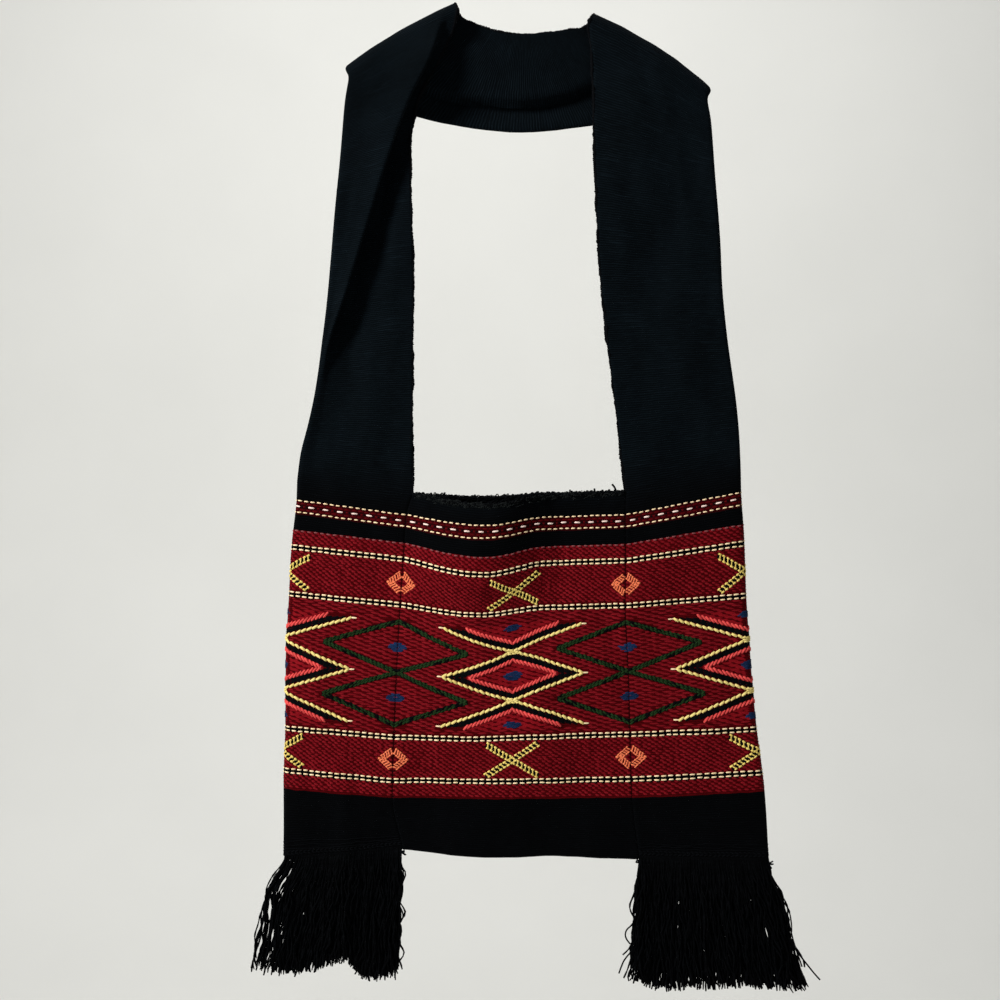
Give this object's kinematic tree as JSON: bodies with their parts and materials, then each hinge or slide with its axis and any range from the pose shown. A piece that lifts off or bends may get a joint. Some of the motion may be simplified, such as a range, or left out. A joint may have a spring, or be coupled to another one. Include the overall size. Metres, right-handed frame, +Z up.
{
  "type": "woven shoulder bag",
  "caption": "Black handwoven shoulder bag with a red figured front and sides, a broad folded strap and fringes below both sides, hung by its strap.",
  "frame": {"origin": "midway between the two slanting lines over which the strap bears", "axes": "+Z up as the bag hangs, -Y towards the front panel, +X to the right as seen from the front"},
  "size_m": [0.4445, 0.0632, 0.7932],
  "materials": {
    "black_cloth": "matte",
    "figured_cloth": "matte",
    "fringe_yarn": "matte"
  },
  "bodies": {
    "root": {"front_panel": "figured_cloth", "back_panel": "figured_cloth", "left_side_front": "figured_cloth", "left_side_back": "figured_cloth", "right_side_front": "figured_cloth", "right_side_back": "figured_cloth", "left_strap": "black_cloth", "left_turn": "black_cloth", "neck_strap": "black_cloth", "right_turn": "black_cloth", "right_strap": "black_cloth", "left_fringe": "fringe_yarn", "right_fringe": "fringe_yarn"}
  },
  "joints": []
}
